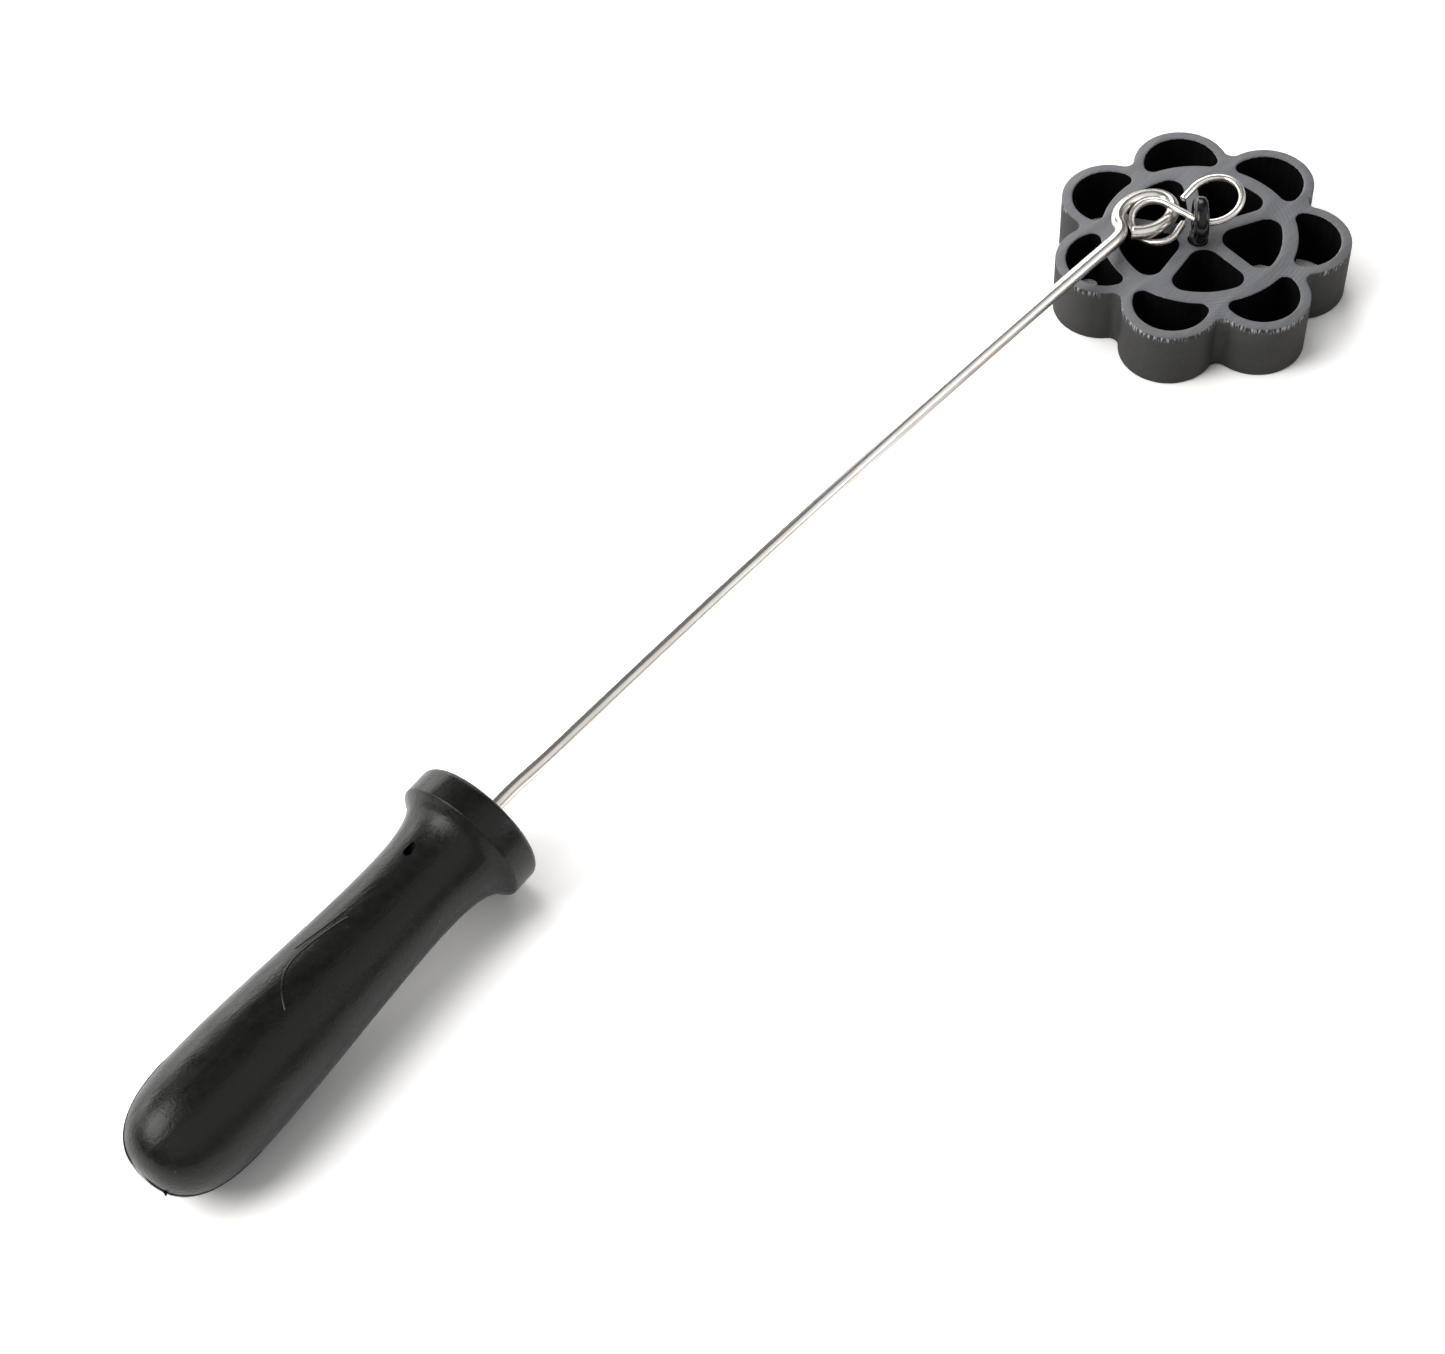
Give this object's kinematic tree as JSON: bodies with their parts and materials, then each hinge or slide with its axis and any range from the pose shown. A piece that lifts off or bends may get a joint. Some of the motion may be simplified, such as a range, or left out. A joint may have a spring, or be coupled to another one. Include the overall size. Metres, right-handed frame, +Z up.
{
  "type": "rosette iron",
  "caption": "Long-handled rosette iron: a pierced flower-shaped mould linked by a wire hook to a rod with a moulded grip.",
  "frame": {"origin": "centre of the mould's flat underside, on the mould's own axis", "axes": "+Z up off the mould's underside; the rod runs along X with the handle towards -X; the iron lies on a table as it is put down"},
  "size_m": [0.3825, 0.0745, 0.0322],
  "materials": {
    "coated_casting": "dark satin non-stick coat over cast aluminium",
    "blackened_steel": "glossy black",
    "bright_wire": "bright drawn wire",
    "moulded_plastic": "matt black, heat-resistant"
  },
  "bodies": {
    "mould": {"mould_body": "coated_casting", "eyelet": "blackened_steel"},
    "hook": {"s_hook": "bright_wire"},
    "grip": {"rod": "bright_wire", "handle": "moulded_plastic"}
  },
  "joints": [
    {"name": "hook_swing", "type": "hinge", "parent": "mould", "child": "hook", "pos_m": [-0.0026, 0, 0.023], "axis": [0, 1, 0], "range_deg": [0, 10]},
    {"name": "rod_lift", "type": "hinge", "parent": "hook", "child": "grip", "pos_m": [-0.0026, 0, 0.023], "axis": [0, 1, 0], "range_deg": [0, 25]}
  ]
}
